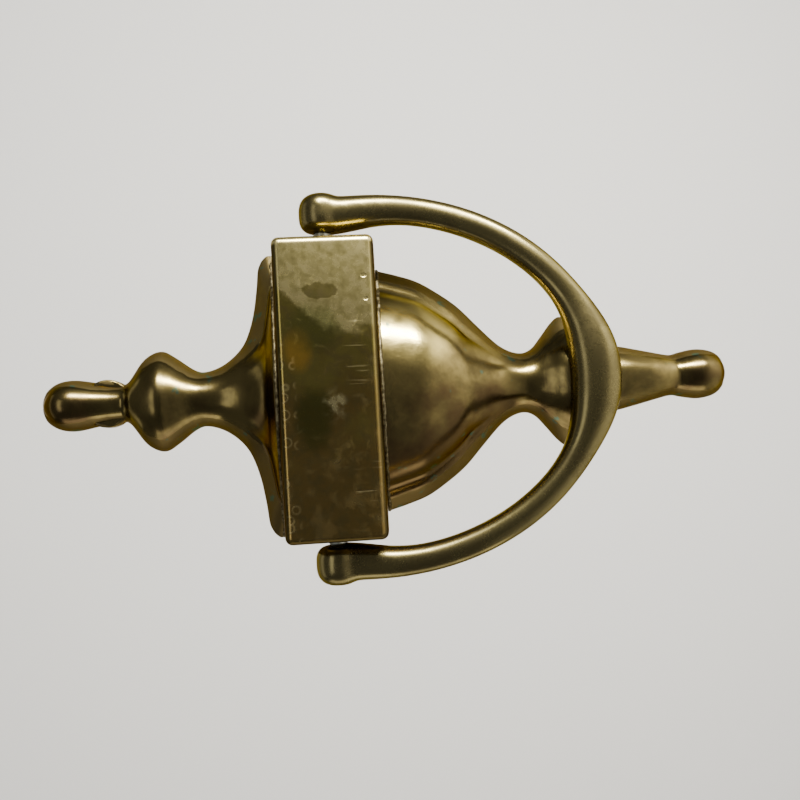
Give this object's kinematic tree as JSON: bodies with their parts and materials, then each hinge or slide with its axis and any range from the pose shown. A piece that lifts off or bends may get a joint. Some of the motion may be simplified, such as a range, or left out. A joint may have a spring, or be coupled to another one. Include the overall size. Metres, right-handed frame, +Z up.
{
  "type": "door knocker",
  "caption": "Cast brass urn door knocker with a finial, raised blank band, bowl and drop, and a swinging crescent handle that strikes the foot ring",
  "frame": {"origin": "on the door's face, on the centreline, level with the handle's pivots", "axes": "+Z up the door to the finial, -Y out of the door towards the visitor, +X to the right seen from the front"},
  "size_m": [0.1096, 0.0766, 0.2031],
  "materials": {
    "aged_brass": "polished brass gone olive with age, duller skirt",
    "band_brass": "polished brass with stains, spots and scratches",
    "handle_brass": "satin polished brass worn by hands",
    "pin_steel": "dull greenish grey steel",
    "fixing_brass": "turned brass, lightly tarnished"
  },
  "bodies": {
    "urn_body": {"crown_casting": "aged_brass", "bowl_casting": "aged_brass", "name_band": "band_brass", "upper_mount_screw": "fixing_brass", "lower_mount_screw": "fixing_brass", "upper_mount_washer": "fixing_brass", "lower_mount_washer": "fixing_brass"},
    "striker": {"handle": "handle_brass", "right_pivot_pin": "pin_steel", "left_pivot_pin": "pin_steel"}
  },
  "joints": [
    {"name": "handle_swing", "type": "hinge", "parent": "urn_body", "child": "striker", "pos_m": [0, -0.014, 0], "axis": [-1, 0, 0], "range_deg": [0, 165]}
  ]
}
